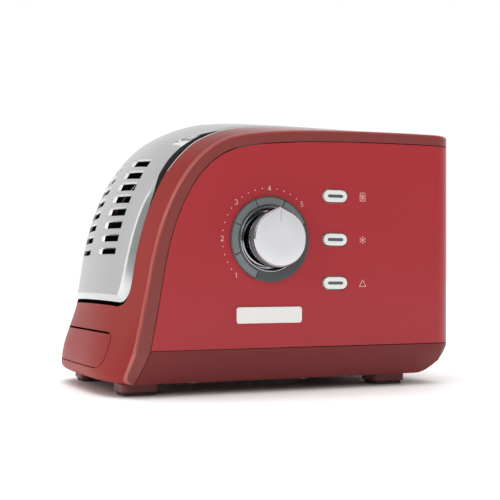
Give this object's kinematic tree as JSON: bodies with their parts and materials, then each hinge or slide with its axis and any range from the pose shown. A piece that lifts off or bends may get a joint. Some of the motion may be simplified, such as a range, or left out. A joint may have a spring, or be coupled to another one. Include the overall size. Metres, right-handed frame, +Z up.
{
  "type": "pop up toaster",
  "caption": "Pop-up toaster with a sloping steel nose, red side panels, round browning dial, push buttons, sprung bread carriage with end lever, and a slide-out crumb tray.",
  "frame": {"origin": "centre of the whole part seen from above, at the level the foot pads stand on", "axes": "+X along the bread slots from the sloping nose to the lever, -Y out of the control face, +Z up"},
  "size_m": [0.3166, 0.2, 0.2075],
  "materials": {
    "hoop_red": "pearl gloss",
    "panel_red": "pearl gloss",
    "base_red": "satin",
    "foot_red": "matte",
    "pad_rubber": "matte",
    "sheet_steel": "fine brushed",
    "bright_chrome": "polished",
    "satin_silver": "satin",
    "dial_grey": "gloss",
    "segment_grey": "translucent gloss",
    "lens_grey": "translucent gloss",
    "black_plastic": "matte",
    "ivory_plastic": "matte",
    "board_green": "satin",
    "plain_steel": "galvanised",
    "reflector_sheet": "bright rolled",
    "mica": "matte mottled",
    "nichrome": "oxidised",
    "coil_copper": "enamelled",
    "lever_silver": "satin"
  },
  "bodies": {
    "body": {"surround": "hoop_red", "top_panel": "sheet_steel", "front_side_panel": "panel_red", "rear_side_panel": "panel_red", "end_cover": "panel_red", "base": "base_red", "feet": "foot_red", "foot_pads": "pad_rubber", "base_screws": "plain_steel", "cord_gland": "black_plastic", "dial_bezel": "dial_grey", "dial_segments": "segment_grey", "dial_cup": "bright_chrome", "mark_plate": "satin_silver", "button_guide": "black_plastic", "control_board": "board_green", "dial_sensor": "board_green", "tact_switches": "black_plastic", "chassis_left": "plain_steel", "chassis_right": "plain_steel", "reflector_front": "reflector_sheet", "reflector_rear": "reflector_sheet", "heater_front": "mica", "heater_centre": "mica", "heater_rear": "mica", "element_front": "nichrome", "element_centre": "nichrome", "element_rear": "nichrome", "guide_rod": "plain_steel", "rod_brackets": "plain_steel", "magnet_core": "plain_steel", "magnet_coil": "coil_copper", "mains_contacts": "black_plastic", "power_board": "board_green", "board_parts": "black_plastic", "board_posts": "ivory_plastic", "terminal_block": "ivory_plastic", "return_spring": "plain_steel"},
    "carriage": {"carriage_bracket": "plain_steel", "slide_bush": "ivory_plastic", "bread_rest_front": "plain_steel", "bread_rest_rear": "plain_steel", "armature_plate": "plain_steel", "lever_arm": "plain_steel", "lever_knob": "lever_silver"},
    "knob": {"dial_knob": "bright_chrome", "knob_face": "satin_silver", "dial_shaft": "plain_steel"},
    "defrost": {"defrost_button": "satin_silver", "defrost_light": "lens_grey"},
    "warm": {"warm_button": "satin_silver", "warm_light": "lens_grey"},
    "cancel": {"cancel_button": "satin_silver", "cancel_light": "lens_grey"},
    "tray": {"crumb_tray": "plain_steel", "tray_front": "hoop_red"},
    "guard_a": {"guard_front_outer": "plain_steel"},
    "guard_b": {"guard_front_inner": "plain_steel"},
    "guard_c": {"guard_rear_inner": "plain_steel"},
    "guard_d": {"guard_rear_outer": "plain_steel"}
  },
  "joints": [
    {"name": "carriage_slide", "type": "slide", "parent": "body", "child": "carriage", "axis": [0, 0, -1], "range_m": [0, 0.072], "stiffness_N_per_m": 80, "springref_m": -0.05, "deforming": ["return_spring"]},
    {"name": "dial_turn", "type": "hinge", "parent": "body", "child": "knob", "pos_m": [-0.03445, -0.08, 0.1137], "axis": [0, -1, 0], "range_deg": [-45, 135]},
    {"name": "defrost_press", "type": "slide", "parent": "body", "child": "defrost", "axis": [0, 1, 0], "range_m": [0, 0.0012], "stiffness_N_per_m": 400, "springref_m": -0.001},
    {"name": "warm_press", "type": "slide", "parent": "body", "child": "warm", "axis": [0, 1, 0], "range_m": [0, 0.0012], "stiffness_N_per_m": 400, "springref_m": -0.001},
    {"name": "cancel_press", "type": "slide", "parent": "body", "child": "cancel", "axis": [0, 1, 0], "range_m": [0, 0.0012], "stiffness_N_per_m": 400, "springref_m": -0.001},
    {"name": "tray_slide", "type": "slide", "parent": "body", "child": "tray", "axis": [-1, 0, 0], "range_m": [0, 0.2]},
    {"name": "guard_a_lean", "type": "hinge", "parent": "body", "child": "guard_a", "pos_m": [0.00575, -0.0355, 0.046], "axis": [-1, 0, 0], "range_deg": [0, 6]},
    {"name": "guard_b_lean", "type": "hinge", "parent": "body", "child": "guard_b", "pos_m": [0.00575, 0.0015, 0.046], "axis": [1, 0, 0], "range_deg": [0, 6]},
    {"name": "guard_c_lean", "type": "hinge", "parent": "body", "child": "guard_c", "pos_m": [0.00575, 0.0185, 0.046], "axis": [-1, 0, 0], "range_deg": [0, 6]},
    {"name": "guard_d_lean", "type": "hinge", "parent": "body", "child": "guard_d", "pos_m": [0.00575, 0.0555, 0.046], "axis": [1, 0, 0], "range_deg": [0, 6]}
  ],
  "couplings": [
    {"joint": "guard_a_lean", "follows": "carriage_slide", "rad_per_m": 1.45},
    {"joint": "guard_b_lean", "follows": "carriage_slide", "rad_per_m": 1.45},
    {"joint": "guard_c_lean", "follows": "carriage_slide", "rad_per_m": 1.45},
    {"joint": "guard_d_lean", "follows": "carriage_slide", "rad_per_m": 1.45}
  ]
}
